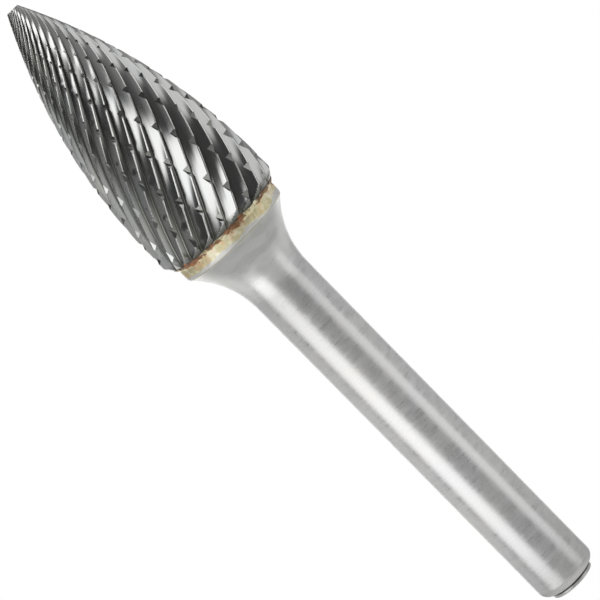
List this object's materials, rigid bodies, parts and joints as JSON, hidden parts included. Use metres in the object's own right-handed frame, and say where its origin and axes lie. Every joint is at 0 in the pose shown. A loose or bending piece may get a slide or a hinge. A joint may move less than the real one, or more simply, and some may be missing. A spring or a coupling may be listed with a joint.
{
  "type": "carbide rotary burr",
  "caption": "Pointed-tree carbide burr: a fluted cutting head brazed to a plain round shank that a die grinder's collet grips.",
  "frame": {"origin": "centre of the shank's flat end face", "axes": "+Z along the axis of rotation, from the shank's end towards the head's tip; X and Y are across the shank"},
  "size_m": [0.0126, 0.0126, 0.07],
  "materials": {
    "carbide": "polished",
    "braze": "satin",
    "shank_steel": "satin"
  },
  "bodies": {
    "root": {"carbide_head": "carbide", "braze_joint": "braze", "steel_shank": "shank_steel"}
  },
  "joints": []
}
